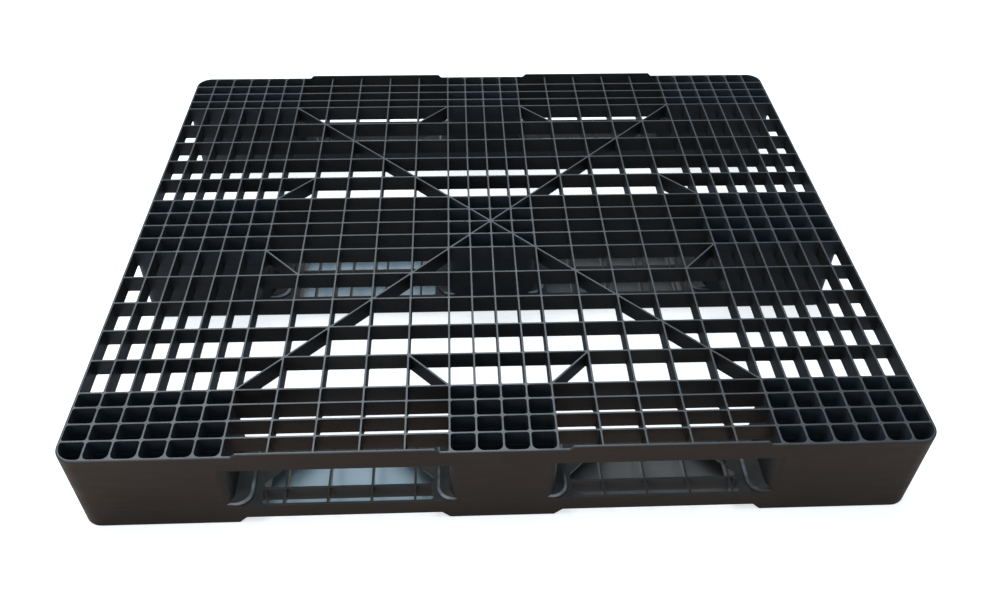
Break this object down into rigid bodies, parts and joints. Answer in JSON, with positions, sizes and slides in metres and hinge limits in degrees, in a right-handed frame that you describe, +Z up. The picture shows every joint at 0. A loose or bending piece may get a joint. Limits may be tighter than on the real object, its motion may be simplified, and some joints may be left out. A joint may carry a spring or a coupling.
{
  "type": "plastic pallet",
  "caption": "Open grid-decked plastic pallet on lengthwise runners, with fork openings from every side, hollow block legs and a raised rim over the openings in the long sides.",
  "frame": {"origin": "on the floor, under the middle of the deck", "axes": "+X along the runners and the long side, +Y along the short side away from the front runner, +Z up"},
  "size_m": [1.2, 1, 0.156],
  "materials": {
    "deck_plastic": "satin recycled polymer",
    "runner_plastic": "satin recycled polymer",
    "screw_steel": "zinc plated"
  },
  "bodies": {
    "root": {"top_deck": "deck_plastic", "front_runner": "runner_plastic", "middle_runner": "runner_plastic", "rear_runner": "runner_plastic", "screw_front_left_1": "screw_steel", "screw_front_left_2": "screw_steel", "screw_front_centre_1": "screw_steel", "screw_front_centre_2": "screw_steel", "screw_front_right_1": "screw_steel", "screw_front_right_2": "screw_steel", "screw_middle_left_1": "screw_steel", "screw_middle_left_2": "screw_steel", "screw_middle_centre_1": "screw_steel", "screw_middle_centre_2": "screw_steel", "screw_middle_right_1": "screw_steel", "screw_middle_right_2": "screw_steel", "screw_rear_left_1": "screw_steel", "screw_rear_left_2": "screw_steel", "screw_rear_centre_1": "screw_steel", "screw_rear_centre_2": "screw_steel", "screw_rear_right_1": "screw_steel", "screw_rear_right_2": "screw_steel"}
  },
  "joints": []
}
